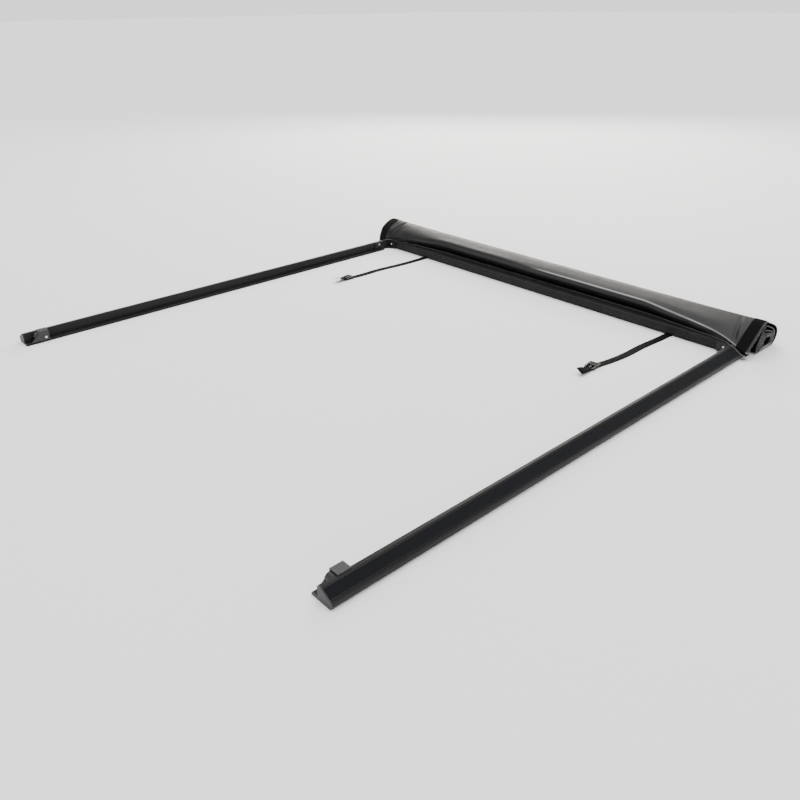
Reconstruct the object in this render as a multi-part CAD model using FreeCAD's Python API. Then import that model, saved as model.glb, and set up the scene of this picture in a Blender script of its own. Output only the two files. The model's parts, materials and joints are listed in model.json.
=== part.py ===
import FreeCAD, Part
import math
import os

# Roll-up cover for a pickup bed, in millimetres, lying on a floor.
# X runs across the bed, +Y towards the cab, +Z up. While it is being drawn, Y is counted from the
# tail ends of the rails; save() then moves the origin to the middle of the finished footprint.

# ---- driving dimensions ----------------------------------------------------------------------
HEADER_FRONT = 1566.0      # tailgate face of the front header
HEADER_BACK = 1614.0       # cab face of the front header
HEADER_TOP = 35.0
HEADER_HALF = 773.0        # the header's ends stand this far from the centreline
WALL = 3.0

RAIL_IN = 768.0            # inner edge of a side rail's flange
RAIL_WEB = 787.5           # inner face of its upright web
RAIL_OUT = 829.0
RAIL_START = 3.0           # the end cap fills the first 3 mm
RAIL_END = 1600.0
FLANGE_TOP = 5.5
FLANGE_END = 1519.0        # the flange stops here, to leave room for the corner bracket
RIDGE_TOP = 35.5
SLOPE_TOP = (799.0, 34.5)  # upper and lower ends of the slanted face, as X and Z
SLOPE_LOW = (826.0, 18.0)
POCKET_FROM = 3.0          # the hook strip's pocket, measured down the slanted face
POCKET_TO = 27.0
POCKET_DEPTH = 1.4
STRIP_THICK = 1.6
SLOT_MID = 1478.0          # clamp slot through the flange
SLOT_LENGTH = 53.0
SLOT_WIDTH = 8.0
SLOT_X = 776.5

SHEET = 1.2                # vinyl sheet
SHEET_HALF = 845.0         # half the sheet's width
BAND_WIDTH = 32.0          # loop tape along the sheet's side edges
BAND_THICK = 1.5
BAND_INSET = 8.0           # from the sheet's edge to the tape
BAND_GAP = 0.15            # between the tape and the sheet under it

# The roll's section, as Y and Z of the sheet: one turn round its outside, and one turn round its
# core, each from the top over to the cab side. The sheet winds from the first to the second.
OUTER_TURN = [(1648, 96.5), (1676, 86.5), (1704, 74), (1728, 57), (1741, 35), (1738, 12),
              (1722, 2.9), (1668, 2.7), (1628, 2.9), (1617.5, 10), (1617.5, 34), (1626, 64)]
CORE_TURN = [(1668, 38), (1684, 38), (1698, 34.5), (1704, 28), (1705, 22), (1703, 16),
             (1697, 13.5), (1682, 13), (1667, 13.5), (1661, 17), (1659, 24), (1661, 32)]
TURNS = 6.0
WRAP_POINTS = 24           # flats in each turn
FRONT_LINE = [(1615.4, 38.3), (1603, 52), (1592, 69), (1591, 84), (1614, 92)]

# Tail end of the rails to the loop tape on the cab side of the roll.
LENGTH = 1742.0

BAR_Y = 1682.0             # tail bar, in the roll's core
BAR_Z = 24.5
BAR_HALF_Y = 17.0
BAR_HALF_Z = 8.0
BAR_RADIUS = 4.0
BAR_HALF = 818.0
CAP_THICK = 4.0

BOW_WIDTH = 22.0
BOW_THICK = 4.4
BOW_HALF = 770.0
BOW_TURN = 0.06            # each bow lies this far round its turn

SCREW_R = 1.85
HEAD_R = 4.2

LATCH_FROM = 43.0          # the catch's top plate, along the rail
LATCH_TO = 75.0
LATCH_TOP = 37.8
BOLT_BACK = 60.0
PIN_R = 1.6
PIN_RUN = 0.08             # radial clearance of the spring pin in the bolt
SPRING_R = 4.0
SPRING_WIRE = 0.45
SPRING_TURNS = 5

STRAP_WIDTH = 25.0
STRAP_THICK = 1.6

# The straps' routes on the floor, as X and Y, from under the header to the free end.
RIGHT_ROUTE = [(582, 1574), (580, 1500), (573, 1420), (576, 1330), (568, 1250), (554, 1185), (563, 1107)]
LEFT_ROUTE = [(-560, 1574), (-558, 1500), (-563, 1410), (-574, 1320), (-570, 1230), (-577, 1160), (-571, 1098)]

os.makedirs("parts", exist_ok=True)


# ---- helpers ---------------------------------------------------------------------------------
def vec(x, y, z):
    return FreeCAD.Vector(x, y, z)


def save(name, shape):
    shape = shape.copy()
    shape.translate(vec(0, -LENGTH / 2, 0))
    shape.exportStep("parts/" + name + ".step")


def save_pair(name, right):
    """A right-hand piece and its mirror image."""
    save("right_" + name, right)
    save("left_" + name, mirrored(right))


def mirrored(shape):
    return shape.mirror(vec(0, 0, 0), vec(1, 0, 0))


def both_sides(shape):
    return [shape, mirrored(shape)]


def box(x0, x1, y0, y1, z0, z1):
    return Part.makeBox(x1 - x0, y1 - y0, z1 - z0, vec(x0, y0, z0))


def along_y(points, y0, y1):
    """An outline given as X and Z, pulled along Y."""
    wire = Part.makePolygon([vec(x, y0, z) for x, z in points + points[:1]])
    return Part.Face(wire).extrude(vec(0, y1 - y0, 0))


def along_x(points, x0, x1):
    """An outline given as Y and Z, pulled along X."""
    wire = Part.makePolygon([vec(x0, y, z) for y, z in points + points[:1]])
    return Part.Face(wire).extrude(vec(x1 - x0, 0, 0))


def along_z(points, z0, z1):
    """An outline given as X and Y, pulled up."""
    wire = Part.makePolygon([vec(x, y, z0) for x, y in points + points[:1]])
    return Part.Face(wire).extrude(vec(0, 0, z1 - z0))


def rod_x(radius, x0, x1, y, z):
    return Part.makeCylinder(radius, x1 - x0, vec(x0, y, z), vec(1, 0, 0))


def rod_y(radius, y0, y1, x, z):
    return Part.makeCylinder(radius, y1 - y0, vec(x, y0, z), vec(0, 1, 0))


def rod_z(radius, z0, z1, x, y):
    return Part.makeCylinder(radius, z1 - z0, vec(x, y, z0), vec(0, 0, 1))


def rounded(shape, radius, axis, picks):
    """Fillets the edges that run along an axis through the given points of its cross-section."""
    edges = []
    for edge in shape.Edges:
        a = edge.Vertexes[0].Point
        b = edge.Vertexes[-1].Point
        run = b - a
        if run.Length < 1 or abs(abs(run[axis]) - run.Length) > 0.001:
            continue
        others = [i for i in range(3) if i != axis]
        for pick in picks:
            if abs(a[others[0]] - pick[0]) < 0.05 and abs(a[others[1]] - pick[1]) < 0.05:
                edges.append(edge)
    return shape.makeFillet(radius, edges)


def down_slope(along, out=0.0):
    """A point of the slanted face: so far down it, and so far out of it."""
    run_x = SLOPE_LOW[0] - SLOPE_TOP[0]
    run_z = SLOPE_LOW[1] - SLOPE_TOP[1]
    length = math.hypot(run_x, run_z)
    ux = run_x / length
    uz = run_z / length
    return (SLOPE_TOP[0] + along * ux - out * uz, SLOPE_TOP[1] + along * uz + out * ux)


# ---- side rails ------------------------------------------------------------------------------
def rail_outline():
    slope = [
        down_slope(0),
        down_slope(POCKET_FROM),
        down_slope(POCKET_FROM, -POCKET_DEPTH),
        down_slope(POCKET_TO, -POCKET_DEPTH),
        down_slope(POCKET_TO),
        down_slope(28.8),
        down_slope(29.4, -1.6),
        down_slope(31.0, -1.6),
    ]
    outside = [(827.6, 17.2), (RAIL_OUT, 15.0), (RAIL_OUT, 8.0), (824.5, 0.0)]
    inside = [(RAIL_IN, 0.0), (RAIL_IN, FLANGE_TOP), (RAIL_WEB, FLANGE_TOP), (RAIL_WEB, RIDGE_TOP)]
    return inside + [(797.4, RIDGE_TOP)] + slope + outside


def rail_cavity():
    return [(790.3, 3.0), (822.0, 3.0), (825.6, 8.8), (825.6, 12.8), (796.2, 31.0), (790.3, 31.0)]


def side_rail():
    rail = along_y(rail_outline(), RAIL_START, RAIL_END)
    rail = rounded(rail, 3.0, 1, [(RAIL_WEB, RIDGE_TOP)])
    rail = rounded(rail, 0.8, 1, [(797.4, RIDGE_TOP), (827.6, 17.2), (RAIL_OUT, 15.0), (RAIL_IN, FLANGE_TOP)])
    rail = rail.cut(along_y(rail_cavity(), RAIL_START - 1, RAIL_END + 1))
    rail = rail.cut(box(RAIL_IN - 1, RAIL_WEB, FLANGE_END, RAIL_END + 1, -1, FLANGE_TOP + 1))
    half = (SLOT_LENGTH - SLOT_WIDTH) / 2
    slot = box(SLOT_X - SLOT_WIDTH / 2, SLOT_X + SLOT_WIDTH / 2, SLOT_MID - half, SLOT_MID + half, -1, 8)
    for end in (SLOT_MID - half, SLOT_MID + half):
        slot = slot.fuse(rod_z(SLOT_WIDTH / 2, -1, 8, SLOT_X, end))
    rail = rail.cut(slot)
    for y, z in (RAIL_SCREW, LATCH_SCREW):
        rail = rail.cut(rod_x(SCREW_R, RAIL_WEB - 1, 791, y, z))
    return rail


def hook_strip():
    corners = [
        down_slope(POCKET_FROM + 0.2, -POCKET_DEPTH),
        down_slope(POCKET_TO - 0.2, -POCKET_DEPTH),
        down_slope(POCKET_TO - 0.2, STRIP_THICK - POCKET_DEPTH),
        down_slope(POCKET_FROM + 0.2, STRIP_THICK - POCKET_DEPTH),
    ]
    return along_y(corners, RAIL_START, RAIL_END)


def rail_end_cap():
    inside = [(RAIL_IN, 0.0), (RAIL_IN, FLANGE_TOP), (RAIL_WEB, FLANGE_TOP), (RAIL_WEB, RIDGE_TOP - 3)]
    ridge = [(RAIL_WEB + 3, RIDGE_TOP), (797.4, RIDGE_TOP), SLOPE_TOP, SLOPE_LOW]
    cap = along_y(inside + ridge + [(RAIL_OUT, 15.0), (RAIL_OUT, 8.0), (824.5, 0.0)], 0, RAIL_START)
    plug = [(790.7, 3.4), (821.8, 3.4), (825.2, 9.0), (825.2, 12.5), (796.0, 30.6), (790.7, 30.6)]
    cap = cap.fuse(along_y(plug, RAIL_START, RAIL_START + 14))
    return cap.cut(along_y([(794, 6), (818, 6), (820, 11), (797, 25), (794, 25)], 8, 20)).removeSplitter()


# ---- front header ----------------------------------------------------------------------------
SEAL_FROM = 1578.0
SEAL_TO = 1602.0
SEAL_TOP = 4.0
ROD = (1604.0, 30.6)       # the retainer rod in its channel, as Y and Z
ROD_R = 2.9
RIBS = (12.0, 22.0, 31.0)  # raised lines along the header's face
NOTCH_HALF = 20.0          # the straps' notches in the header's lower front edge
NOTCH_MID = HEADER_FRONT + 8.0
STRAP_SIDES = (RIGHT_ROUTE[0][0], LEFT_ROUTE[0][0])


def front_header():
    face = [(HEADER_FRONT + 4, 0.0), (HEADER_FRONT + 4, 3.5), (HEADER_FRONT, 5.0)]
    for z in RIBS:
        face.append((HEADER_FRONT, z - 1.6))
        face.append((HEADER_FRONT - 1.6, z - 0.5))
        face.append((HEADER_FRONT - 1.6, z + 0.5))
        face.append((HEADER_FRONT, z + 1.6))
    top = [(HEADER_FRONT + 1.5, HEADER_TOP), (HEADER_BACK - 1.0, HEADER_TOP), (HEADER_BACK, HEADER_TOP - 1.0)]
    header = along_x(face + top + [(HEADER_BACK, 0.0)], -HEADER_HALF, HEADER_HALF)
    cavity = [
        (HEADER_FRONT + WALL, SEAL_TOP + WALL),
        (HEADER_BACK - WALL, SEAL_TOP + WALL),
        (HEADER_BACK - WALL, 24.0),
        (1597.0, 24.0),
        (1597.0, HEADER_TOP - WALL),
        (HEADER_FRONT + WALL, HEADER_TOP - WALL),
    ]
    header = header.cut(along_x(cavity, -HEADER_HALF - 1, HEADER_HALF + 1))
    header = header.cut(box(-HEADER_HALF - 1, HEADER_HALF + 1, SEAL_FROM, SEAL_TO, -1, SEAL_TOP))
    header = header.cut(rod_x(ROD_R + 0.5, -HEADER_HALF - 1, HEADER_HALF + 1, *ROD))
    slot = box(-HEADER_HALF - 1, HEADER_HALF + 1, ROD[0] - 1.2, ROD[0] + 1.2, ROD[1], HEADER_TOP + 1)
    header = header.cut(slot)
    for side in STRAP_SIDES:
        header = header.cut(box(side - NOTCH_HALF, side + NOTCH_HALF, HEADER_FRONT - 2, SEAL_FROM, -1, 5.0))
        header = header.cut(rod_z(SCREW_R, 4, 9, side, NOTCH_MID))
    return header


def header_seal():
    return box(-HEADER_HALF, HEADER_HALF, SEAL_FROM + 0.3, SEAL_TO - 0.3, 0.2, SEAL_TOP)


def retainer_rod():
    return rod_x(ROD_R, -HEADER_HALF + 2, HEADER_HALF - 2, *ROD)


# ---- corner brackets -------------------------------------------------------------------------
RAIL_SCREW = (1504.0, 24.0)      # through the bracket's ear into the rail, as Y and Z
HEADER_SCREW = (768.0, 18.0)     # through its front plate into the header, as X and Z
OPEN_HOLE = 11.0                 # the spare hole lies this far inboard of that screw
PLATE_IN = 745.0
BRACKET_OUT = RAIL_WEB - 0.1
PLATE_FRONT = HEADER_FRONT - 5.2
PLATE_BACK = HEADER_FRONT - 1.8
EAR_THICK = 3.4
EAR_FROM = 1480.0


def corner_bracket():
    block = box(HEADER_HALF + 0.2, BRACKET_OUT, PLATE_BACK, HEADER_BACK, 0, HEADER_TOP - 0.5)
    plate = box(PLATE_IN, BRACKET_OUT, PLATE_FRONT, PLATE_BACK, 3, 33)
    inner_edges = [e for e in plate.Edges if e.BoundBox.XMax < PLATE_IN + 1 and e.BoundBox.YLength > 3]
    plate = plate.makeFillet(6, inner_edges)
    ear = box(BRACKET_OUT - EAR_THICK, BRACKET_OUT, EAR_FROM, PLATE_BACK, FLANGE_TOP + 0.3, 33)
    ear = ear.makeFillet(7, [e for e in ear.Edges if e.BoundBox.YMax < EAR_FROM + 1 and e.BoundBox.XLength > 3])
    foot = along_z([(BRACKET_OUT, FLANGE_END + 0.3), (BRACKET_OUT, PLATE_BACK), (PLATE_IN, PLATE_BACK)], 0, FLANGE_TOP)
    foot = foot.cut(rod_z(34, -1, 8, PLATE_IN + 2, 1525))
    plug = box(HEADER_HALF - 22, HEADER_HALF + 1, HEADER_FRONT + 3.4, 1596.6, 7.4, 31.6)
    bracket = block.fuse([plate, ear, foot, plug]).removeSplitter()
    bracket = bracket.cut(rod_x(SCREW_R, 780, 790, *RAIL_SCREW))
    for x in (HEADER_SCREW[0], HEADER_SCREW[0] - OPEN_HOLE):
        bracket = bracket.cut(rod_y(SCREW_R, 1555, PLATE_BACK + 0.1, x, HEADER_SCREW[1]))
    return bracket


def pan_head(shank):
    """A screw lying along +X with its head behind X = 0, its underside at X = 0."""
    body = rod_x(SCREW_R - 0.05, 0, shank, 0, 0)
    dome = Part.makeSphere(6.0, vec(3.2, 0, 0))
    head = rod_x(HEAD_R, -3.0, 0, 0, 0).common(dome)
    drive = rod_x(1.5, -4.0, -1.4, 0, 0)
    return body.fuse(head).cut(drive).removeSplitter()


def screw_at(place, turn=0.0, shank=7.0):
    screw = pan_head(shank)
    screw.rotate(vec(0, 0, 0), vec(0, 0, 1), turn)
    screw.translate(place)
    return screw


def corner_screws():
    ear = screw_at(vec(BRACKET_OUT - EAR_THICK, *RAIL_SCREW), 0, 6.2)
    front = screw_at(vec(HEADER_SCREW[0], PLATE_FRONT, HEADER_SCREW[1]), 90, 3.3)
    return Part.makeCompound(both_sides(ear) + both_sides(front))


# ---- latch catches ---------------------------------------------------------------------------
LATCH_SCREW = (64.0, 15.0)
CATCH_WEB = 770.5
BLOCK_TOP = 18.6
BOLT_LOW = 19.5
BOLT_HIGH = 33.0
BOLT_AXIS = (779.0, 26.2)        # of the spring and its pin, as X and Z
BACK_WALL = 73.0


def latch_bracket():
    web = [(19, FLANGE_TOP), (LATCH_TO, FLANGE_TOP), (LATCH_TO, LATCH_TOP), (LATCH_FROM, LATCH_TOP)]
    shape = along_x(web + [(LATCH_FROM, 29), (19, 9)], RAIL_IN, CATCH_WEB)
    shape = shape.fuse(box(RAIL_IN, 795, LATCH_FROM, LATCH_TO, RIDGE_TOP + 0.1, LATCH_TOP))
    ramp = [(22, FLANGE_TOP), (BACK_WALL, FLANGE_TOP), (BACK_WALL, BLOCK_TOP), (52, BLOCK_TOP), (24, 8)]
    shape = shape.fuse(along_x(ramp, CATCH_WEB, 779))
    shape = shape.fuse(box(CATCH_WEB, RAIL_WEB - 0.2, BACK_WALL, LATCH_TO, FLANGE_TOP, RIDGE_TOP + 0.1))
    shape = shape.removeSplitter()
    shape = rounded(shape, 1.6, 1, [(RAIL_IN, LATCH_TOP)])
    shape = shape.cut(rod_x(SCREW_R, 760, 780, *LATCH_SCREW))
    return shape.cut(rod_y(PIN_R, BACK_WALL - 1, LATCH_TO + 1, *BOLT_AXIS))


def latch_bolt():
    nose_tip = 28.0
    nose = Part.Arc(vec(771.2, 46, BOLT_HIGH), vec(771.2, 32, 29.5), vec(771.2, nose_tip, 22.5)).toShape()
    corners = [(nose_tip, 22.5), (31, BOLT_LOW), (BOLT_BACK, BOLT_LOW), (BOLT_BACK, BOLT_HIGH), (46, BOLT_HIGH)]
    rest = Part.makePolygon([vec(771.2, y, z) for y, z in corners])
    bolt = Part.Face(Part.Wire([nose] + rest.Edges)).extrude(vec(15.6, 0, 0))
    return bolt.cut(rod_y(PIN_R + PIN_RUN, 43, BOLT_BACK + 1, *BOLT_AXIS))


def latch_spring():
    clear = 0.3
    height = BACK_WALL - BOLT_BACK - 2 * clear - 2 * SPRING_WIRE
    path = Part.makeHelix(height / SPRING_TURNS, height, SPRING_R)
    wire = Part.Wire([Part.makeCircle(SPRING_WIRE, vec(SPRING_R, 0, 0), vec(0, 1, 0))])
    spring = Part.Wire(path).makePipeShell([wire], True, True)
    spring.rotate(vec(0, 0, 0), vec(1, 0, 0), -90)
    spring.translate(vec(BOLT_AXIS[0], BOLT_BACK + clear + SPRING_WIRE, BOLT_AXIS[1]))
    return spring


def latch_pin():
    return rod_y(PIN_R, 52, LATCH_TO - 0.1, *BOLT_AXIS)


def latch_screws():
    return Part.makeCompound(both_sides(screw_at(vec(RAIL_IN, *LATCH_SCREW), 0, 21.5)))


# ---- the vinyl cover -------------------------------------------------------------------------
def cover_front_edge():
    """The end of the sheet that stays on the header, its bead, and the corners stuck to the rails."""
    lap = box(-786, 786, 1590, HEADER_BACK - 0.6, HEADER_TOP, HEADER_TOP + SHEET)
    tongue = box(-HEADER_HALF + 2, HEADER_HALF - 2, ROD[0] - 0.6, ROD[0] + 0.6, ROD[1] + ROD_R + 0.05, HEADER_TOP)
    low = STRIP_THICK - POCKET_DEPTH + 0.05
    corners = [down_slope(0.5, low), down_slope(30, low), down_slope(30, low + SHEET), down_slope(0.5, low + SHEET)]
    flap = along_y(corners, 1545, RAIL_END)
    return Part.makeCompound([lap.fuse(tongue).removeSplitter()] + both_sides(flap))


def round_trip(loop, turn):
    """The point of a closed loop after that share of its round, on a curve through its points."""
    place = (turn % 1) * len(loop)
    first = int(place)
    t = place - first
    weights = (
        (-t + 2 * t**2 - t**3) / 2,
        (2 - 5 * t**2 + 3 * t**3) / 2,
        (t + 4 * t**2 - 3 * t**3) / 2,
        (t**3 - t**2) / 2,
    )
    near = [loop[(first + i) % len(loop)] for i in (-1, 0, 1, 2)]
    return [sum(w * point[axis] for w, point in zip(weights, near)) for axis in (0, 1)]


def spiral_point(turn):
    """Middle of the sheet's thickness after so many turns from the top, going over to the cab side."""
    outer = round_trip(OUTER_TURN, turn)
    core = round_trip(CORE_TURN, turn)
    share = turn / TURNS
    return tuple(a + (b - a) * share for a, b in zip(outer, core))


def sheet_line():
    """The sheet from the hinge line, up the front of the roll and round to its core."""
    count = round(TURNS * WRAP_POINTS)
    return FRONT_LINE + [spiral_point(i / WRAP_POINTS) for i in range(count + 1)]


def offset_line(points, distance):
    """The same line, moved sideways, to the outside of the roll when the distance is positive."""
    moved = []
    for i, (y, z) in enumerate(points):
        before = points[max(i - 1, 0)]
        after = points[min(i + 1, len(points) - 1)]
        dy = after[0] - before[0]
        dz = after[1] - before[1]
        run = math.hypot(dy, dz)
        moved.append((y - dz / run * distance, z + dy / run * distance))
    return moved


def ribbon(points, low, high, x0, x1):
    """A sheet in flats that follows the line between two offsets, as wide as X0 to X1."""
    inner = offset_line(points, low)
    outer = offset_line(points, high)
    return along_x(inner + outer[::-1], x0, x1)


def cover_roll():
    return ribbon(sheet_line(), -SHEET / 2, SHEET / 2, -SHEET_HALF, SHEET_HALF)


def loop_strip():
    """Loop tape sewn to the sheet's edge, for the part of it that shows on the outermost turn."""
    shown = sheet_line()[:WRAP_POINTS]
    outer = SHEET_HALF - BAND_INSET
    return ribbon(shown, SHEET / 2 + BAND_GAP, SHEET / 2 + BAND_THICK, outer - BAND_WIDTH, outer)


# ---- inside the roll -------------------------------------------------------------------------
def bar_outline(grow, x0, x1):
    bar = box(x0, x1, BAR_Y - BAR_HALF_Y - grow, BAR_Y + BAR_HALF_Y + grow,
              BAR_Z - BAR_HALF_Z - grow, BAR_Z + BAR_HALF_Z + grow)
    return bar.makeFillet(BAR_RADIUS + grow, [e for e in bar.Edges if e.BoundBox.XLength > 1])


def tail_bar():
    return bar_outline(0, -BAR_HALF, BAR_HALF).cut(bar_outline(-2, -BAR_HALF - 1, BAR_HALF + 1))


RIVET = (BAR_Y + 9, BAR_Z - 1)


def tail_bar_end():
    end = bar_outline(0, BAR_HALF, BAR_HALF + CAP_THICK)
    end = end.fuse(bar_outline(-2.3, BAR_HALF - 16, BAR_HALF)).removeSplitter()
    return end.cut(rod_x(2.0, BAR_HALF - 20, BAR_HALF + 10, *RIVET))


def tail_bar_rivets():
    rivet = rod_x(1.95, BAR_HALF - 15, BAR_HALF + CAP_THICK, *RIVET)
    rivet = rivet.fuse(Part.makeCone(3.4, 2.2, 1.6, vec(BAR_HALF + CAP_THICK, *RIVET), vec(1, 0, 0)))
    return Part.makeCompound(both_sides(rivet.removeSplitter()))


def tail_seal():
    top = BAR_Z + BAR_HALF_Z
    return box(-BAR_HALF + 10, BAR_HALF - 10, BAR_Y - 8, BAR_Y + 8, top, top + 1.4)


def support_bow(turn):
    """A flat hollow cross bar in the middle of the gap between two wraps, tilted as they are."""
    wrap_y, wrap_z = spiral_point(turn)
    next_y, next_z = spiral_point(turn + 1)
    ahead_y, ahead_z = spiral_point(turn + 0.02)
    half = BOW_WIDTH / 2
    outer = box(-BOW_HALF, BOW_HALF, -half, half, -BOW_THICK / 2, BOW_THICK / 2)
    outer = outer.makeFillet(2.0, [e for e in outer.Edges if e.BoundBox.XLength > 1])
    bow = outer.cut(box(-BOW_HALF - 1, BOW_HALF + 1, 2.2 - half, half - 2.2, -1.2, 1.2))
    tilt = math.degrees(math.atan2(ahead_z - wrap_z, ahead_y - wrap_y))
    bow.rotate(vec(0, 0, 0), vec(1, 0, 0), tilt)
    bow.translate(vec(0, (wrap_y + next_y) / 2, (wrap_z + next_z) / 2))
    return bow


# ---- straps ----------------------------------------------------------------------------------
def route_wire(route, z):
    """Straight runs joined by arcs, each as large as its two runs allow."""
    points = [vec(x, y, z) for x, y in route]
    edges = []
    start = points[0]
    for before, corner, after in zip(points, points[1:], points[2:]):
        in_dir = (corner - before).normalize()
        out_dir = (after - corner).normalize()
        setback = 0.45 * min((corner - before).Length, (after - corner).Length)
        turn = in_dir.getAngle(out_dir)
        radius = setback / math.tan(turn / 2)
        print("strap arc radius", round(radius))
        first = corner - in_dir * setback
        last = corner + out_dir * setback
        inward = (out_dir - in_dir).normalize()
        middle = corner + inward * (radius / math.cos(turn / 2) - radius)
        edges.append(Part.makeLine(start, first))
        edges.append(Part.Arc(first, middle, last).toShape())
        start = last
    edges.append(Part.makeLine(start, points[-1]))
    return Part.Wire(edges)


def strap(route):
    path = route_wire(route, 0)
    start = path.Vertexes[0].Point
    heading = (vec(*route[1], 0) - vec(*route[0], 0)).normalize()
    side = vec(-heading.y, heading.x, 0) * (STRAP_WIDTH / 2)
    up = vec(0, 0, STRAP_THICK)
    corners = [start - side, start + side, start + side + up, start - side + up]
    profile = Part.makePolygon(corners + corners[:1])
    webbing = path.makePipeShell([profile], True, False)
    print("strap volume", round(webbing.Volume), "of", round(path.Length * STRAP_WIDTH * STRAP_THICK),
          "length", round(path.Length))
    return webbing


def strap_buckle(route):
    """The plug half of a side-release buckle: a ladder frame, two prongs and a middle guide."""
    frame = box(-17, 17, -2, 20, 0, 7).fuse(box(-13, 13, 14, 24, 0, 5))
    frame = frame.cut(box(-13, 13, 3, 6.6, -1, 8)).cut(box(-13, 13, 11, 14.6, -1, 8))
    buckle = frame.fuse(box(-3, 3, -22, 0, 1.5, 5.5))
    for side in (-1, 1):
        prong = [(side * 16, 0), (side * 11, 0), (side * 11, -18), (side * 8, -26), (side * 13, -27), (side * 17, -17)]
        buckle = buckle.fuse(along_z(prong, 0.8, 6.2))
    buckle = buckle.removeSplitter()
    heading = vec(*route[-1], 0) - vec(*route[-2], 0)
    turn = math.degrees(math.atan2(heading.x, -heading.y))
    buckle.rotate(vec(0, 0, 0), vec(0, 0, 1), turn)
    buckle.translate(vec(*route[-2], STRAP_THICK + 0.1))
    return buckle


def strap_anchor(side):
    """The small plate that holds a strap's end in the header's notch."""
    plate = box(side - 16, side + 16, HEADER_FRONT + 4.5, HEADER_FRONT + 11.5, STRAP_THICK + 0.1, 4.9)
    return plate.cut(rod_z(SCREW_R, 0, 6, side, NOTCH_MID))


def strap_rivets():
    low = STRAP_THICK + 0.2
    return Part.makeCompound([rod_z(SCREW_R - 0.05, low, 6.9, side, NOTCH_MID) for side in STRAP_SIDES])


# ---- every piece -----------------------------------------------------------------------------
save_pair("side_rail", side_rail())
save_pair("rail_hook_strip", hook_strip())
save_pair("rail_end_cap", rail_end_cap())
save("front_header", front_header())
save("header_seal", header_seal())
save("cover_retainer_rod", retainer_rod())
save_pair("corner_bracket", corner_bracket())
save("corner_screws", corner_screws())
save_pair("latch_bracket", latch_bracket())
save_pair("latch_bolt", latch_bolt())
save_pair("latch_spring", latch_spring())
save_pair("latch_spring_pin", latch_pin())
save("latch_screws", latch_screws())
save("cover_front_edge", cover_front_edge())
save("cover_roll", cover_roll())
save_pair("cover_loop_strip", loop_strip())
save("tail_bar", tail_bar())
save_pair("tail_bar_end", tail_bar_end())
save("tail_bar_rivets", tail_bar_rivets())
save("tail_bar_seal", tail_seal())
for number in (1, 2, 3):
    save("support_bow_" + str(number), support_bow(number - 1 + BOW_TURN))
save("right_strap", strap(RIGHT_ROUTE))
save("left_strap", strap(LEFT_ROUTE))
save("right_strap_buckle", strap_buckle(RIGHT_ROUTE))
save("left_strap_buckle", strap_buckle(LEFT_ROUTE))
save("right_strap_anchor", strap_anchor(STRAP_SIDES[0]))
save("left_strap_anchor", strap_anchor(STRAP_SIDES[1]))
save("strap_rivets", strap_rivets())
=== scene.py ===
import bmesh
import bpy
import json
import math
import numpy as np
from mathutils import Matrix, Vector, noise


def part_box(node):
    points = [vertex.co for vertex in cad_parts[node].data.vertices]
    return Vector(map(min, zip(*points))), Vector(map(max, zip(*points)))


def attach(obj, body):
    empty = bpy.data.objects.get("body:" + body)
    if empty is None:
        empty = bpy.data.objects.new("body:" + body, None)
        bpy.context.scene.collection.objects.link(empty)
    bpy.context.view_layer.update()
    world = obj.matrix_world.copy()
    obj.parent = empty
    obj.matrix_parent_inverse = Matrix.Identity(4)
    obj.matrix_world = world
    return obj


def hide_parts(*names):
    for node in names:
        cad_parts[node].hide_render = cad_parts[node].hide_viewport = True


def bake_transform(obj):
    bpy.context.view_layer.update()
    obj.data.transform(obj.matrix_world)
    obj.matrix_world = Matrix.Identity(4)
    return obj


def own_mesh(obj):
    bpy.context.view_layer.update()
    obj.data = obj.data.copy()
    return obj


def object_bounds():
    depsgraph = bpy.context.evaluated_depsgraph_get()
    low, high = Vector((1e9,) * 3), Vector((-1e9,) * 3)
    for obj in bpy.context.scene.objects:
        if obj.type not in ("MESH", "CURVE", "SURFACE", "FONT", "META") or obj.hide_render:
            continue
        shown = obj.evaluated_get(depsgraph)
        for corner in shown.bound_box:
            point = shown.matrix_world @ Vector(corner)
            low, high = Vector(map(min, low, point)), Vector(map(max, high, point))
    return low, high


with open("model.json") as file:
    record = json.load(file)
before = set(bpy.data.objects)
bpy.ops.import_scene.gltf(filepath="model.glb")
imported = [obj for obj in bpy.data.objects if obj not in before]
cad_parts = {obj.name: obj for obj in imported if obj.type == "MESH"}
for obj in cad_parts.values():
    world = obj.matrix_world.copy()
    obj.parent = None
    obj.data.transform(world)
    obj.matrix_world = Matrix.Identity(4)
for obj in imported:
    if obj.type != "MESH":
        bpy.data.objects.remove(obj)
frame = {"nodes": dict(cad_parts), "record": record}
NODES = frame["nodes"]
CAD_LOW, CAD_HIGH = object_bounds()

# Lengths along the bed are counted from the tail ends of the rails, in metres unless a name says mm.
TAIL = CAD_LOW.y
MM = 0.001
SHEET = 1.1 * MM
SHEET_HALF = CAD_HIGH.x


# ---- camera ----------------------------------------------------------------------------------
EYE = (1.6539, TAIL - 0.5698, 0.9622)
YAW, PITCH, ROLL = (math.radians(a) for a in (-48.12, -28.19, -0.596))
LENS_MM = 33.43


def make_camera():
    ahead = Vector((math.sin(YAW) * math.cos(PITCH), math.cos(YAW) * math.cos(PITCH), math.sin(PITCH)))
    level = ahead.cross(Vector((0, 0, 1))).normalized()
    upright = level.cross(ahead)
    right = level * math.cos(ROLL) + upright * math.sin(ROLL)
    up = upright * math.cos(ROLL) - level * math.sin(ROLL)
    turn = Matrix((right, up, -ahead)).transposed().to_4x4()
    data = bpy.data.cameras.new("camera")
    data.lens = LENS_MM
    data.sensor_width = 36.0
    camera = bpy.data.objects.new("camera", data)
    camera.matrix_world = Matrix.Translation(EYE) @ turn
    bpy.context.scene.collection.objects.link(camera)
    bpy.context.scene.camera = camera


make_camera()


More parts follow.
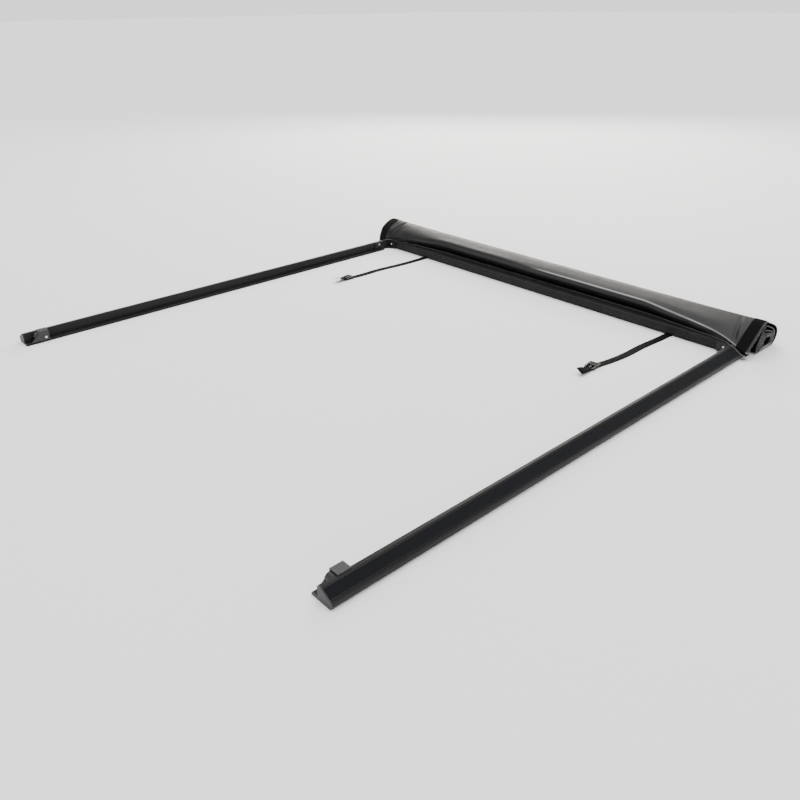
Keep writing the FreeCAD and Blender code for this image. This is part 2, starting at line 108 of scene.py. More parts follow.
# ---- materials -------------------------------------------------------------------------------
class Finish:
    """A material made of a shader and the textures that vary it, all in object coordinates."""

    def __init__(self, name, roughness=0.5, metallic=0.0, **sockets):
        self.material = bpy.data.materials.new(name)
        self.material.use_nodes = True
        self.tree = self.material.node_tree
        self.shader = self.tree.nodes["Principled BSDF"]
        self.shader.inputs["Roughness"].default_value = roughness
        self.shader.inputs["Metallic"].default_value = metallic
        for socket, value in sockets.items():
            self.shader.inputs[socket.replace("_", " ")].default_value = value
        self.place = self.node("ShaderNodeTexCoord").outputs["Object"]
        self.normal = None

    def node(self, kind, **values):
        made = self.tree.nodes.new(kind)
        for key, value in values.items():
            setattr(made, key, value)
        return made

    def link(self, a, b):
        self.tree.links.new(a, b)

    def cloud(self, scale, detail=3.0, stretch=(1, 1, 1)):
        """Soft noise, scale patches to the metre, drawn out along an axis where stretch is small."""
        mapping = self.node("ShaderNodeMapping")
        mapping.inputs["Scale"].default_value = stretch
        self.link(self.place, mapping.inputs["Vector"])
        made = self.node("ShaderNodeTexNoise")
        made.inputs["Scale"].default_value = scale
        made.inputs["Detail"].default_value = detail
        self.link(mapping.outputs["Vector"], made.inputs["Vector"])
        return made.outputs["Fac"]

    def cells(self, scale):
        """Rounded grains, scale of them to the metre."""
        made = self.node("ShaderNodeTexVoronoi")
        made.inputs["Scale"].default_value = scale
        self.link(self.place, made.inputs["Vector"])
        return made.outputs["Distance"]

    def waves(self, scale, direction, distortion=0.0, coordinates=None):
        made = self.node("ShaderNodeTexWave", bands_direction=direction)
        made.inputs["Scale"].default_value = scale
        made.inputs["Distortion"].default_value = distortion
        self.link(coordinates or self.place, made.inputs["Vector"])
        return made.outputs["Fac"]

    def ramp(self, value, low, high, dark, light):
        """Colours or greys from dark to light as the value goes from low to high."""
        made = self.node("ShaderNodeValToRGB")
        made.color_ramp.elements[0].position = low
        made.color_ramp.elements[1].position = high
        made.color_ramp.elements[0].color = (*dark, 1)
        made.color_ramp.elements[1].color = (*light, 1)
        self.link(value, made.inputs["Fac"])
        return made.outputs["Color"]

    def mixed(self, share, a, b):
        made = self.node("ShaderNodeMix", data_type="RGBA")
        self.link(share, made.inputs["Factor"])
        self.link(a, made.inputs["A"])
        self.link(b, made.inputs["B"])
        return made.outputs["Result"]

    def times(self, a, b):
        made = self.node("ShaderNodeMath", operation="MULTIPLY")
        self.link(a, made.inputs[0])
        self.link(b, made.inputs[1])
        return made.outputs["Value"]

    def colour(self, output):
        self.link(output, self.shader.inputs["Base Color"])

    def roughness(self, value, low, high, smooth, rough):
        shades = self.ramp(value, low, high, (smooth,) * 3, (rough,) * 3)
        self.link(shades, self.shader.inputs["Roughness"])

    def bump(self, height, strength, depth):
        made = self.node("ShaderNodeBump")
        made.inputs["Strength"].default_value = strength
        made.inputs["Distance"].default_value = depth
        self.link(height, made.inputs["Height"])
        if self.normal:
            self.link(self.normal, made.inputs["Normal"])
        self.normal = made.outputs["Normal"]
        self.link(self.normal, self.shader.inputs["Normal"])


def grey(value, tint=0.0):
    """A grey, a little blue where the tint is positive."""
    return (value, value * (1 + 0.2 * tint), value * (1 + tint))


def vinyl():
    finish = Finish("vinyl", roughness=0.4, Specular_IOR_Level=0.26)
    patches = finish.cloud(9, 4)
    # Painted highlight: where the attribute is set, the colour turns light grey and stands in for light off
    # the crease.
    painted_highlight = finish.node("ShaderNodeAttribute", attribute_name="painted_highlight").outputs["Fac"]
    plain = finish.ramp(patches, 0.35, 0.7, grey(0.0055), grey(0.008))
    highlight_grey = finish.ramp(patches, 0.3, 0.7, grey(0.28), grey(0.4))
    finish.colour(finish.mixed(painted_highlight, plain, highlight_grey))
    finish.roughness(finish.cloud(40, 5), 0.3, 0.7, 0.36, 0.45)
    finish.bump(finish.cells(1400), 0.25, 0.0002)
    finish.bump(finish.cloud(120, 4), 0.12, 0.0006)
    return finish.material


def vinyl_edge():
    """The cut edge of the sheet, where its woven backing shows."""
    finish = Finish("vinyl_edge", roughness=0.8)
    finish.colour(finish.ramp(finish.cloud(900, 2), 0.35, 0.65, grey(0.17), grey(0.34)))
    finish.bump(finish.cloud(1500, 2), 0.4, 0.0003)
    return finish.material


def loop_tape():
    finish = Finish("loop_tape", roughness=0.95, Specular_IOR_Level=0.15)
    finish.colour(finish.ramp(finish.cloud(700, 3), 0.35, 0.7, grey(0.001), grey(0.003)))
    finish.bump(finish.cells(900), 0.9, 0.0008)
    finish.bump(finish.cloud(220, 4), 0.5, 0.0008)
    return finish.material


def hook_tape():
    finish = Finish("hook_tape", roughness=0.85, Specular_IOR_Level=0.18)
    finish.colour(finish.ramp(finish.cells(700), 0.2, 0.7, grey(0.0055, 0.7), grey(0.002, 0.6)))
    finish.bump(finish.cells(700), 0.8, 0.0007)
    return finish.material


def rail_coat():
    finish = Finish("rail_coat", roughness=0.42, Specular_IOR_Level=0.13)
    finish.colour(finish.ramp(finish.cloud(6, 4, (4, 0.4, 4)), 0.3, 0.75, grey(0.011), grey(0.017)))
    finish.roughness(finish.cloud(60, 4, (1, 0.1, 1)), 0.3, 0.7, 0.36, 0.5)
    finish.bump(finish.cloud(1700, 2), 0.35, 0.0002)
    finish.bump(finish.cloud(500, 2, (0.2, 0.1, 1)), 0.1, 0.0002)
    return finish.material


def bracket_coat():
    finish = Finish("bracket_coat", roughness=0.5, Specular_IOR_Level=0.35)
    finish.colour(finish.ramp(finish.cloud(30, 4), 0.3, 0.7, grey(0.006), grey(0.010)))
    finish.bump(finish.cloud(1100, 3), 0.5, 0.0003)
    return finish.material


def end_cap_plastic():
    finish = Finish("end_cap_plastic", roughness=0.45, Specular_IOR_Level=0.3)
    finish.colour(finish.ramp(finish.cloud(40, 3), 0.3, 0.7, grey(0.022), grey(0.032)))
    finish.bump(finish.waves(420, "X"), 0.35, 0.0003)
    finish.bump(finish.cloud(1500, 2), 0.2, 0.0002)
    return finish.material


def latch_coat():
    finish = Finish("latch_coat", roughness=0.5, Specular_IOR_Level=0.35)
    specks = finish.cells(900)
    finish.colour(finish.ramp(specks, 0.05, 0.5, grey(0.055), grey(0.025)))
    finish.bump(specks, 0.7, 0.0004)
    return finish.material


def black_plastic(name, shade=0.010, roughness=0.3, gloss=0.5):
    finish = Finish(name, roughness=roughness, Specular_IOR_Level=gloss)
    finish.colour(finish.ramp(finish.cloud(50, 3), 0.3, 0.7, grey(shade), grey(shade * 1.5)))
    finish.roughness(finish.cloud(150, 4), 0.3, 0.7, roughness, roughness + 0.12)
    finish.bump(finish.cloud(900, 3), 0.2, 0.0002)
    return finish.material


def bright_metal(name, shade=0.8, roughness=0.25):
    finish = Finish(name, roughness=roughness, metallic=1.0)
    finish.colour(finish.ramp(finish.cloud(300, 3), 0.3, 0.7, grey(shade * 0.85), grey(shade)))
    finish.roughness(finish.cloud(500, 3, (1, 1, 8)), 0.3, 0.7, roughness, roughness + 0.15)
    return finish.material


def rubber():
    finish = Finish("seal_rubber", roughness=0.9)
    finish.colour(finish.ramp(finish.cloud(400, 3), 0.3, 0.7, grey(0.012), grey(0.02)))
    finish.bump(finish.cells(1100), 0.6, 0.0006)
    return finish.material


def dark_bar():
    finish = Finish("bar_aluminium", roughness=0.35, metallic=0.4)
    finish.colour(finish.ramp(finish.cloud(20, 3, (0.1, 4, 4)), 0.3, 0.7, grey(0.012), grey(0.02)))
    finish.roughness(finish.cloud(300, 3, (0.05, 3, 3)), 0.3, 0.7, 0.3, 0.45)
    finish.bump(finish.cloud(900, 2, (0.03, 1, 1)), 0.3, 0.0002)
    return finish.material


def webbing():
    finish = Finish("webbing", roughness=0.8, Specular_IOR_Level=0.1)
    flat = finish.node("ShaderNodeUVMap", uv_map="along").outputs["UV"]
    ribs = finish.waves(62, "Y", 1.2, flat)
    ends = finish.waves(130, "X", 0.6, flat)
    weave = finish.times(ribs, ends)
    finish.colour(finish.ramp(weave, 0.05, 0.7, grey(0.0015), grey(0.005)))
    finish.bump(weave, 0.9, 0.0006)
    finish.bump(finish.cloud(1500, 3), 0.4, 0.0003)
    return finish.material


VINYL = vinyl()
VINYL_EDGE = vinyl_edge()
LOOP_TAPE = loop_tape()
WEBBING = webbing()
SLOT_MATERIALS = {
    "rail_coat": rail_coat(),
    "bracket_coat": bracket_coat(),
    "hook_tape": hook_tape(),
    "end_cap_plastic": end_cap_plastic(),
    "seal_rubber": rubber(),
    "rod_plastic": black_plastic("rod_plastic", 0.02, 0.45),
    "zinc_screw": bright_metal("zinc_screw"),
    "latch_coat": latch_coat(),
    "latch_bolt_plastic": black_plastic("latch_bolt_plastic"),
    "spring_steel": bright_metal("spring_steel", 0.5, 0.35),
    "bar_aluminium": dark_bar(),
    "buckle_plastic": black_plastic("buckle_plastic", 0.003, 0.42, 0.15),
}


# ---- CAD nodes -------------------------------------------------------------------------------
BEVELS_MM = {"rail_coat": 0.5, "bracket_coat": 0.8, "latch_coat": 0.6, "end_cap_plastic": 0.4,
             "buckle_plastic": 0.7, "latch_bolt_plastic": 0.6}


def round_edges(piece, radius_mm):
    bevel = piece.modifiers.new("edges", "BEVEL")
    bevel.width = radius_mm * MM
    bevel.segments = 2
    bevel.limit_method = "ANGLE"
    bevel.angle_limit = math.radians(40)
    bevel.harden_normals = True
    bevel.use_clamp_overlap = True


def finish_cad_nodes():
    slots = {part["node"]: part["material_slot"] for part in frame["record"]["subparts"]}
    for name, piece in NODES.items():
        material = SLOT_MATERIALS.get(slots[name])
        if not material:
            continue
        for holder in piece.material_slots:
            holder.material = material
        if slots[name] in BEVELS_MM:
            round_edges(piece, BEVELS_MM[slots[name]])


finish_cad_nodes()


# ---- mesh helpers ----------------------------------------------------------------------------
def add_object(name, mesh):
    made = bpy.data.objects.new(name, mesh)
    bpy.context.scene.collection.objects.link(made)
    return made


def grid_piece(name, points, *materials):
    """A sheet through a grid of points, rows by columns by 3, in metres."""
    rows, columns = points.shape[:2]
    corner = np.arange(rows * columns).reshape(rows, columns)
    faces = np.stack([corner[:-1, :-1], corner[:-1, 1:], corner[1:, 1:], corner[1:, :-1]], -1)
    mesh = bpy.data.meshes.new(name)
    mesh.from_pydata(points.reshape(-1, 3).tolist(), [], faces.reshape(-1, 4).tolist())
    mesh.shade_smooth()
    for material in materials:
        mesh.materials.append(material)
    return add_object(name, mesh)


def thicken(piece, thickness, rim_material=0):
    """Gives a sheet its thickness, half of it to each side."""
    solid = piece.modifiers.new("thickness", "SOLIDIFY")
    solid.thickness = thickness
    solid.offset = 0.0
    solid.material_offset_rim = rim_material


def curve_through(points, places):
    """Catmull-Rom curves through points[i], an array for each i, at the given places from 0 to its end."""
    last = len(points) - 1
    out = []
    for place in places:
        i = min(int(place), last - 1)
        t = place - i
        a, b = points[i], points[i + 1]
        before = points[i - 1] if i else 2 * a - b
        after = points[i + 2] if i + 2 <= last else 2 * b - a
        out.append(0.5 * (2 * a + (b - before) * t + (2 * before - 5 * a + 4 * b - after) * t**2
                          + (3 * a - before - 3 * b + after) * t**3))
    return np.array(out)


def between(x, stations, values):
    """Smooth values at x, an array, from those at the stations, with no overshoot between two of them."""
    step = np.diff(stations)[:, None, None]
    rise = np.diff(values, axis=0) / step
    same_way = rise[:-1] * rise[1:] > 0
    total = np.where(same_way, rise[:-1] + rise[1:], 1)
    slope = np.zeros_like(values)
    slope[1:-1] = np.where(same_way, 2 * rise[:-1] * rise[1:] / total, 0)
    i = np.clip(np.searchsorted(stations, x) - 1, 0, len(stations) - 2)
    t = ((x - stations[i]) / np.diff(stations)[i])[:, None, None]
    run = step[i]
    return (values[i] * (1 + 2 * t) * (1 - t) ** 2 + values[i + 1] * t**2 * (3 - 2 * t)
            + slope[i] * run * t * (1 - t) ** 2 - slope[i + 1] * run * t**2 * (1 - t))


def smoothstep(value, low, high):
    t = np.clip((value - low) / (high - low), 0, 1)
    return t * t * (3 - 2 * t)


def hump(value, middle, half):
    return np.exp(-((value - middle) / half) ** 2)


# ---- the vinyl sheet -------------------------------------------------------------------------
# Sections as Y and Z in millimetres. The roll's own section is the one that the CAD roll has.
OUTER_TURN = [(1648, 96.5), (1676, 86.5), (1704, 74), (1728, 57), (1741, 35), (1738, 12),
              (1722, 2.9), (1668, 2.7), (1628, 2.9), (1617.5, 10), (1617.5, 34), (1626, 64)]
CORE_TURN = [(1668, 38), (1684, 38), (1698, 34.5), (1704, 28), (1705, 22), (1703, 16),
             (1697, 13.5), (1682, 13), (1667, 13.5), (1661, 17), (1659, 24), (1661, 32)]
TURNS = 6.0
JOIN_TURN = 0.5            # the lifted front ends and the roll begins here, low on the cab side

# Across the bed, how the sheet leaves the header: X, then its foot, a point of its lower face, the
# crease where it folds back over the roll, a point on the way to the roll's top, and the top.
FRONT_SECTIONS = [
    (-845, (1556, 17), (1558, 31), (1562, 46), (1581, 79), (1634, 104)),
    (-800, (1560, 32), (1560, 38), (1562, 48), (1584, 79), (1637, 102)),
    (-765, (1567, 36), (1567, 43), (1567, 51), (1596, 76), (1644, 98)),
    (-712, (1577, 36), (1575, 48), (1571, 61), (1597, 82), (1645, 98)),
    (-640, (1590, 36), (1579, 53), (1576, 69), (1602, 86), (1646, 97.5)),
    (-550, (1600, 36), (1584, 58), (1582, 76), (1607, 89), (1646, 97)),
    (-450, (1611, 36), (1590, 62), (1588, 83), (1611, 91), (1647, 97)),
    (450, (1612, 36), (1590, 61), (1588, 82), (1611, 91), (1647, 97)),
    (550, (1600, 36), (1584, 57), (1582, 75), (1607, 89), (1647, 97)),
    (640, (1590, 36), (1578, 53), (1575, 68), (1602, 86), (1647, 97)),
    (712, (1578, 36), (1575, 48), (1570, 60), (1600, 82), (1648, 97)),
    (765, (1568, 36), (1567, 43), (1563, 50), (1600, 77), (1648, 97)),
    (800, (1560, 32), (1560, 34), (1560, 37), (1599, 69), (1649, 97)),
    (845, (1556, 20), (1556, 21.5), (1556, 23), (1601, 60.5), (1649, 97)),
]


def round_trip(loop, turn):
    place = (turn % 1) * len(loop)
    near = [np.array(loop[(int(place) + i) % len(loop)], float) for i in (-1, 0, 1, 2)]
    return curve_through(near, [1 + place % 1])[0]


def spiral_point(turn):
    share = turn / TURNS
    return round_trip(OUTER_TURN, turn) * (1 - share) + round_trip(CORE_TURN, turn) * share


FINE_STRETCH_MM = 120      # at each end of the roll the columns are close together


def columns(fine_mm, coarse_mm):
    """X of the mesh's columns, close together towards both ends."""
    near_end = SHEET_HALF / MM - FINE_STRETCH_MM
    middle = np.linspace(-near_end, near_end, int(2 * near_end / coarse_mm) + 1)
    end = np.arange(near_end, SHEET_HALF / MM + 0.01, fine_mm)[1:]
    return np.concatenate([-end[::-1], middle, end])


ROLL_MIDDLE = np.array([1680.0, 45.0])
BULGE = 0.20               # share by which the loose ends of the outer wrap stand further out
BULGE_AT, BULGE_HALF = 0.28, 0.16      # in turns, on the cab side
LEAN_MM = 8                # the inner wraps' tailgate side is drawn in from the sheet's edge
LEAN_AT, LEAN_HALF = 0.74, 0.12
SLUMP_FROM = 40            # above this height the inner wraps sink at the roll's ends
SLUMP_KEEP = [1, 0.96, 0.77, 0.6, 0.48, 0.42, 0.42]      # height kept above it, for each turn


def end_flare(points, x, turn):
    """Near its ends the roll is looser: it bulges towards the cab, its wraps lean in a little at the
    tailgate side, and its inner wraps sag onto the core."""
    near = smoothstep(abs(x), 690, 845)[:, None]
    moved = points + (points - ROLL_MIDDLE) * BULGE * hump(turn, BULGE_AT, BULGE_HALF) * near
    if turn < 2.2:
        lean = smoothstep(abs(x), 824, 845) * smoothstep(turn, 0.5, 0.66) * (1 - turn / 3)
        moved[:, 0] -= lean * LEAN_MM * hump(turn % 1, LEAN_AT, LEAN_HALF)
    keep = np.interp(turn, np.arange(len(SLUMP_KEEP)), SLUMP_KEEP)
    slump = smoothstep(abs(x), 774, 826) * (1 - keep)
    moved[:, 1] -= slump * np.maximum(moved[:, 1] - SLUMP_FROM, 0)
    return moved


# Rows of the sheet's front part: places on the curve from the foot to the crease, and from there on.
LOWER_ROWS = [0, 0.12, 0.3, 0.5, 0.75, 1.0, 1.25, 1.5, 1.7, 1.85, 1.94, 1.98, 2.0]
UPPER_ROWS = [0, 0.02, 0.06, 0.15, *(0.3 + 0.15 * i for i in range(12)), *(2 + i / 5 for i in range(31))]
CREASE_ROW = len(LOWER_ROWS) - 1
CREASE_HALF_MM = 1.8       # half width of the painted highlight along the crease
SOFT_BEFORE, SHARP_FROM = -160, 20     # the fold is round on the left, and sharp from about the middle


def section_at(x, section):
    """A section's Y and Z for each column, with the column's X put before them."""
    return np.concatenate([np.broadcast_to(x[None, :, None], section[..., :1].shape), section], -1)


def front_grid(x):
    """Points of the sheet from the header, over the crease and the roll, down to the join, in mm."""
    stations = np.array([s[0] for s in FRONT_SECTIONS], float)
    shape = np.array([s[1:] for s in FRONT_SECTIONS], float)
    foot, low, crease, upper, top = between(x, stations, shape).transpose(1, 0, 2)
    over = [end_flare(np.tile(spiral_point(t), (len(x), 1)), x, t) for t in np.arange(1, 7) / 12]
    high_rows = np.array(UPPER_ROWS[1:])
    crisp_low = curve_through([foot, low, crease], LOWER_ROWS)
    crisp_high = curve_through([crease, upper, top, *over], high_rows)
    crisp = np.concatenate([crisp_low, crisp_high])
    soft = curve_through([foot, low, crease, upper, top, *over], [*LOWER_ROWS, *(high_rows + 2)])
    softness = (1 - smoothstep(x, SOFT_BEFORE, SHARP_FROM))[None, :, None]
    return section_at(x, crisp * (1 - softness) + soft * softness)


def outward(grid):
    """Unit normals of a grid of points, away from the roll."""
    along = np.gradient(grid, axis=0)
    across = np.gradient(grid, axis=1)
    normal = np.cross(across, along)
    return normal / np.maximum(np.linalg.norm(normal, axis=-1, keepdims=True), 1e-9)


SLACK_MM = 0.9
SLACK_LENGTHS = (170, 60, 60)          # of the long shallow waves, along X, Y and Z
FACE_ROWS = 16             # from the crease to about the roll's top
WRINKLE_MM = 0.35
RIGHT_TUG = {"from": 797, "lean": -30, "depth": 3.2, "half": 6, "ridge": 1.8, "ridge_at": 11, "ridge_half": 6,
             "slope": 3.2, "wave": 2.6, "waves_at": 12, "waves_half": 13}
LEFT_TUG = {"from": -792, "lean": 34, "depth": 3.4, "half": 9, "ridge": 2.2, "ridge_at": -11, "ridge_half": 5,
            "slope": -3.0, "wave": 3.4, "waves_at": -10, "waves_half": 18}


def slack(grid):
    """Long shallow waves in the sheet, in mm."""
    height = np.zeros(grid.shape[:2])
    for i, row in enumerate(grid):
        for j, point in enumerate(row):
            height[i, j] = noise.noise(Vector(point / SLACK_LENGTHS)) * SLACK_MM
    return height


def tug(x, rows, shape):
    """Where the tape pulls the sheet: a dent that leans up the face, a ridge beside it, fine wrinkles."""
    line = shape["from"] + shape["lean"] * np.clip((rows - CREASE_ROW) / FACE_ROWS, 0, 1)
    slant = (x - line) * 0.8 + rows * shape["slope"]
    wrinkles = WRINKLE_MM * np.sin(slant / shape["wave"])
    return (shape["ridge"] * hump(x, line + shape["ridge_at"], shape["ridge_half"])
            - shape["depth"] * hump(x, line, shape["half"])
            + wrinkles * hump(x, line + shape["waves_at"], shape["waves_half"]))


def drape(grid):
    """The sheet's slack, and a dent beside each tape above the crease, the right one on its lower half."""
    x = grid[..., 0]
    rows = np.arange(grid.shape[0], dtype=float)[:, None]
    last = grid.shape[0]
    free = smoothstep(rows, 1, CREASE_ROW) * (1 - smoothstep(rows, last - 14, last - 3))
    above = rows - CREASE_ROW
    upper = smoothstep(above, 0, 6) * (1 - smoothstep(above, 14, 24))
    lower_half = upper * (1 - smoothstep(above, 9, 17))
    height = slack(grid) * free + tug(x, rows, RIGHT_TUG) * lower_half + tug(x, rows, LEFT_TUG) * upper
    return grid + outward(grid) * height[..., None]


def roll_grid(x):
    """Points of the sheet from the join, round and round to the tail bar, in mm."""
    turns = np.linspace(JOIN_TURN, TURNS, int((TURNS - JOIN_TURN) * 24) + 1)
    rows = [end_flare(np.tile(spiral_point(t), (len(x), 1)), x, t) for t in turns]
    return section_at(x, np.array(rows))


def in_row(grid):
    """From millimetres, Y counted from the rails' tail ends, to the frame's metres."""
    return grid * MM + np.array([0, TAIL, 0])


def paint_highlight(piece, amount):
    """How much painted highlight each point gets, from 0 to 1, where the material shows it."""
    painted_highlight = piece.data.attributes.new("painted_highlight", "FLOAT", "POINT")
    painted_highlight.data.foreach_set("value", amount.astype(np.float32).ravel())


def crease_highlight(grid):
    """The sharp fold along the crease gets a painted grey highlight, most of all in the middle of the bed's
    width.
    """
    x = grid[0, :, 0]
    away = np.linalg.norm(grid - grid[CREASE_ROW], axis=-1)
    return hump(away, 0, CREASE_HALF_MM) * smoothstep(x, -30, 90) * (1 - 0.4 * smoothstep(x, 500, 830))


def lift_with_roll(piece):
    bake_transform(piece)


FRONT_COLUMNS = columns(2.5, 8.0)
ROLL_COLUMNS = columns(5.0, 60.0)
FRONT = drape(front_grid(FRONT_COLUMNS))
WRAPS = roll_grid(ROLL_COLUMNS)


def make_sheet():
    front = grid_piece("cover_vinyl_front", in_row(FRONT), VINYL, VINYL_EDGE)
    # The front sheet's colour gets a painted highlight along the crease.
    paint_highlight(front, crease_highlight(FRONT))
    thicken(front, SHEET, rim_material=1)
    lift_with_roll(front)
    wraps = grid_piece("cover_vinyl_wraps", in_row(WRAPS), VINYL, VINYL_EDGE)
    paint_highlight(wraps, np.zeros(WRAPS.shape[:2]))
    thicken(wraps, SHEET, rim_material=1)
    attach(wraps, "roll")
    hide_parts("cover_roll")
    return front, wraps


front_sheet, wrap_sheet = make_sheet()


# ---- loop tape along the sheet's sides -------------------------------------------------------
TAPE_FROM, TAPE_TO = 805.0, 837.0
WRAP_TAPE_TO = 844.0       # inside the roll the tape has crept out to the sheet's edge
TAPE_THICK = 1.3


def tape_grid(grid, side, to):
    """The part of the sheet's outer face that the tape covers, and a little off it."""
    x = grid[0, :, 0] * side
    keep = np.nonzero((x > TAPE_FROM - 1) & (x < to + 1))[0]
    face = grid + outward(grid) * (SHEET / MM / 2 + TAPE_THICK / 2)
    return face[:, keep]


def make_tapes():
    for side, name in ((1, "right"), (-1, "left")):
        over_front = in_row(tape_grid(FRONT, side, TAPE_TO))
        front = grid_piece(name + "_loop_tape_front", over_front, LOOP_TAPE)
        thicken(front, TAPE_THICK * MM)
        lift_with_roll(front)
        over_wraps = in_row(tape_grid(WRAPS, side, WRAP_TAPE_TO))
        wraps = grid_piece(name + "_loop_tape_wraps", over_wraps, LOOP_TAPE)
        thicken(wraps, TAPE_THICK * MM)
        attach(wraps, "roll")
        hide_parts(name + "_cover_loop_strip")


make_tapes()


# ---- the lap on the header -------------------------------------------------------------------
# The distance from the bed's centreline, then the lap's height and its two edges along the bed, in mm.
LAP_HEIGHT = [(0, 35.8), (772, 35.8), (781, 35.9), (789, 36.5), (797, 36.4), (826, 19.3), (836, 16.5),
              (845, 15)]
LAP_FRONT = [(0, 1600), (480, 1600), (712, 1577), (773, 1565), (789, 1549), (830, 1546), (845, 1549)]
LAP_BACK = [(0, 1613.2), (773, 1613.2), (786, 1599), (829, 1598), (836, 1574), (845, 1570)]


def lap_grid(x):
    def at(table):
        return np.interp(abs(x), *zip(*table))

    rows = []
    for share in np.linspace(0, 1, 9):
        y = at(LAP_FRONT) * (1 - share) + at(LAP_BACK) * share
        rows.append(np.stack([x, y, at(LAP_HEIGHT)], -1))
    return np.array(rows)


def make_lap():
    grid = lap_grid(FRONT_COLUMNS)
    lap = grid_piece("cover_vinyl_lap", in_row(grid), VINYL, VINYL_EDGE)
    paint_highlight(lap, np.zeros(grid.shape[:2]))
    thicken(lap, SHEET, rim_material=1)
    lift_with_roll(lap)
    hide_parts("cover_front_edge")


make_lap()


# ---- straps ----------------------------------------------------------------------------------
STRAP_WIDTH = 0.025
STRAP_THICK = 0.0016
FLOOR_LINE = STRAP_THICK / 2
RIGHT_ROUTE = [(0.582, 1.574, FLOOR_LINE), (0.580, 1.500, FLOOR_LINE), (0.573, 1.420, FLOOR_LINE),
               (0.576, 1.330, FLOOR_LINE), (0.568, 1.250, FLOOR_LINE), (0.554, 1.185, FLOOR_LINE),
               (0.563, 1.107, 0.008)]
LEFT_ROUTE = [(-0.560, 1.574, FLOOR_LINE), (-0.558, 1.500, FLOOR_LINE), (-0.563, 1.410, FLOOR_LINE),
              (-0.574, 1.320, FLOOR_LINE), (-0.570, 1.230, FLOOR_LINE), (-0.577, 1.160, FLOOR_LINE),
              (-0.571, 1.098, 0.014)]


def spline_points(route):
    """Points along the smooth line that has the route's points as its control points."""
    curve = bpy.data.curves.new("route", "CURVE")
    curve.dimensions = "3D"
    curve.resolution_u = 14
    spline = curve.splines.new("NURBS")
    spline.points.add(len(route) - 1)
    for point, (x, y, z) in zip(spline.points, route):
        point.co = (x, TAIL + y, z, 1)
    spline.order_u = 3
    spline.use_endpoint_u = True
    holder = add_object("route", curve)
    bpy.context.view_layer.update()
    seen = holder.evaluated_get(bpy.context.evaluated_depsgraph_get())
    line = [v.co.copy() for v in bpy.data.meshes.new_from_object(seen).vertices]
    bpy.data.objects.remove(holder)
    return line


def ribbon_piece(name, line, twist_at_end):
    """Flat webbing along a line: a slightly crowned strip that turns on edge a little towards its end."""
    across = np.linspace(-0.5, 0.5, 9)
    rows, uv = [], []
    run = 0.0
    total = sum((b - a).length for a, b in zip(line, line[1:]))
    for i, point in enumerate(line):
        ahead = (line[min(i + 1, len(line) - 1)] - line[max(i - 1, 0)]).normalized()
        side = ahead.cross(Vector((0, 0, 1))).normalized()
        if i:
            run += (point - line[i - 1]).length
        share = run / total
        angle = twist_at_end * float(smoothstep(np.array(share), 0.86, 1.0))
        tilted = side * math.cos(angle) + Vector((0, 0, 1)) * math.sin(angle)
        lift = abs(math.sin(angle)) * STRAP_WIDTH / 2
        ripple = 0.0007 * math.sin(run * 70) * math.sin(run * 23) + 0.0008
        rows.append([point + tilted * (STRAP_WIDTH * a) + Vector((0, 0, lift + ripple * (1 - 4 * a * a)))
                     for a in across])
        uv.append([(a * STRAP_WIDTH, run) for a in across])
    piece = grid_piece(name, np.array(rows), WEBBING)
    layer = piece.data.uv_layers.new(name="along")
    flat = np.array(uv).reshape(-1, 2)
    corners = np.zeros(len(piece.data.loops), np.int32)
    piece.data.loops.foreach_get("vertex_index", corners)
    layer.data.foreach_set("uv", flat[corners].astype(np.float32).ravel())
    thicken(piece, STRAP_THICK * 0.9)
    return piece, [row[len(across) // 2] for row in rows]


def make_strap(name, route, twist_at_end):
    strap, line = ribbon_piece(name + "_webbing", spline_points(route), twist_at_end)
    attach(strap, "frame")
    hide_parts(name)


make_strap("right_strap", RIGHT_ROUTE, math.radians(35))
make_strap("left_strap", LEFT_ROUTE, math.radians(-14))


# ---- latch springs ---------------------------------------------------------------------------
SPRING_TURNS = 5
SPRING_WIRE = 0.45 * MM    # radius
STEPS_PER_TURN = 28
WIRE_SIDES = 10


def helix_tube(low, high):
    """A wire wound along Y inside the box from low to high, as rings of points."""
    centre = (low + high) / 2
    radius = (high.x - low.x) / 2 - SPRING_WIRE
    start, run = low.y + SPRING_WIRE, high.y - low.y - 2 * SPRING_WIRE
    rings = []
    steps = SPRING_TURNS * STEPS_PER_TURN
    along = Vector((0, 1, 0))
    sides = [2 * math.pi * i / WIRE_SIDES for i in range(WIRE_SIDES + 1)]
    for step in range(steps + 1):
        angle = 2 * math.pi * step / STEPS_PER_TURN
        out = Vector((math.cos(angle), 0, math.sin(angle)))
        middle = Vector((centre.x, start + run * step / steps, centre.z)) + out * radius
        rings.append([middle + (out * math.cos(a) + along * math.sin(a)) * SPRING_WIRE for a in sides])
    return np.array(rings)


def close_tube(piece):
    """Joins the tube's seam and caps its two ends."""
    mesh = bmesh.new()
    mesh.from_mesh(piece.data)
    bmesh.ops.remove_doubles(mesh, verts=mesh.verts, dist=1e-6)
    bmesh.ops.holes_fill(mesh, edges=mesh.edges, sides=0)
    bmesh.ops.recalc_face_normals(mesh, faces=mesh.faces)
    mesh.to_mesh(piece.data)
    mesh.free()


def make_springs():
    """A wire coil in place of each latch's CAD spring, fixed to the frame."""
    for side in ("left", "right"):
        low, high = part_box(side + "_latch_spring")
        coil = helix_tube(low, high)
        spring = grid_piece(side + "_latch_coil_spring", coil, SLOT_MATERIALS["spring_steel"])
        close_tube(spring)
        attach(spring, "frame")
        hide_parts(side + "_latch_spring")
        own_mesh(spring)


make_springs()


# ---- floor and light -------------------------------------------------------------------------
FLOOR_REACH = 60.0
FLOOR_BELOW = 0.5 * MM     # under the object, so that the two faces don't meet
WARM = (1.0, 0.955, 0.89)


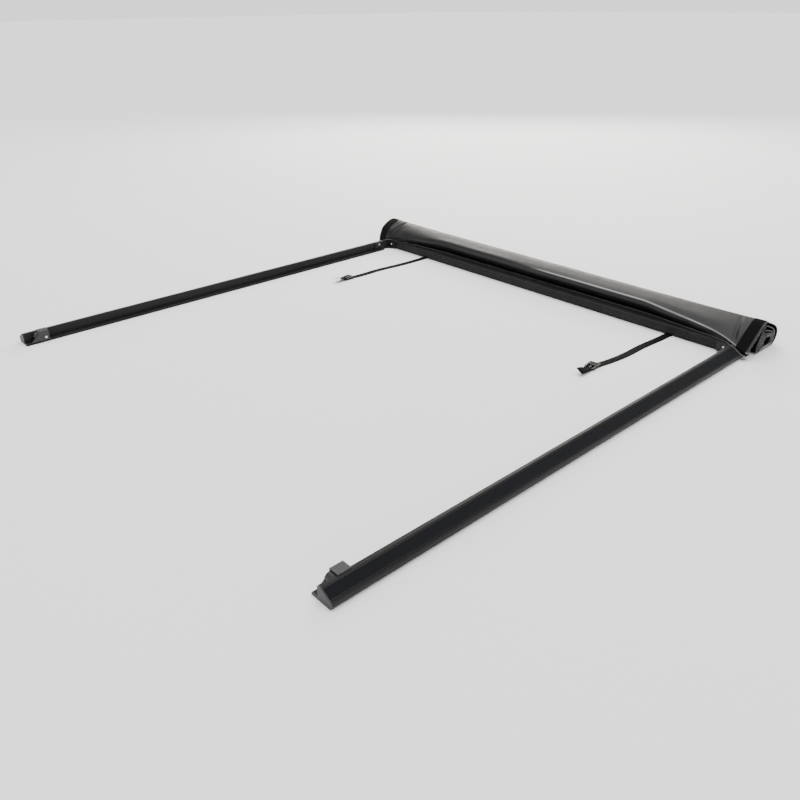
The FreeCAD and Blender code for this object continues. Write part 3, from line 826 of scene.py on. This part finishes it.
def make_floor():
    mesh = bpy.data.meshes.new("floor")
    corners = [(FLOOR_REACH * x, FLOOR_REACH * y, 0) for x, y in ((-1, -1), (1, -1), (1, 1), (-1, 1))]
    mesh.from_pydata(corners, [], [(0, 1, 2, 3)])
    finish = Finish("floor", roughness=0.9, Specular_IOR_Level=0.1)
    finish.colour(finish.ramp(finish.cloud(0.5, 2), 0.3, 0.7, grey(0.93), grey(0.95)))
    mesh.materials.append(finish.material)
    floor = add_object("floor", mesh)
    floor.location.z = -FLOOR_BELOW


def make_light(name, place, aim, size, power, colour):
    data = bpy.data.lights.new(name, "AREA")
    data.shape = "RECTANGLE"
    data.size, data.size_y = size
    data.energy = power
    data.color = colour
    lamp = bpy.data.objects.new(name, data)
    lamp.location = place
    lamp.rotation_euler = (Vector(aim) - Vector(place)).to_track_quat("-Z", "Y").to_euler()
    bpy.context.scene.collection.objects.link(lamp)


def make_sun(strength, spread):
    """Even light from overhead, as from a wide white ceiling."""
    data = bpy.data.lights.new("ceiling", "SUN")
    data.energy = strength
    data.angle = math.radians(spread)
    bpy.context.scene.collection.objects.link(bpy.data.objects.new("ceiling", data))


def make_world():
    """White round the horizon and below it, and dark overhead, so that upward faces keep their depth."""
    world = bpy.data.worlds.new("studio")
    world.use_nodes = True
    tree = world.node_tree
    direction = tree.nodes.new("ShaderNodeTexCoord").outputs["Generated"]
    split = tree.nodes.new("ShaderNodeSeparateXYZ")
    ramp = tree.nodes.new("ShaderNodeValToRGB")
    tree.links.new(direction, split.inputs["Vector"])
    tree.links.new(split.outputs["Z"], ramp.inputs["Fac"])
    tree.links.new(ramp.outputs["Color"], tree.nodes["Background"].inputs["Color"])
    low, high = ramp.color_ramp.elements
    low.position, low.color = 0.34, (1.45, 1.45, 1.45, 1)
    high.position, high.color = 0.62, (0.06, 0.06, 0.065, 1)
    ramp.color_ramp.interpolation = "EASE"
    tree.nodes["Background"].inputs["Strength"].default_value = 1.0
    bpy.context.scene.world = world


make_floor()
make_world()
make_light("strip_softbox", place=(-2.85, 3.84, 1.93), aim=(-0.1, 0.78, 0.1), size=(3.6, 1.0), power=150,
           colour=WARM)
make_light("key_softbox", place=(-0.86, 2.15, 2.4), aim=(0.45, 0.74, 0.06), size=(1.5, 0.9), power=26,
           colour=WARM)
make_sun(strength=4.4, spread=75)
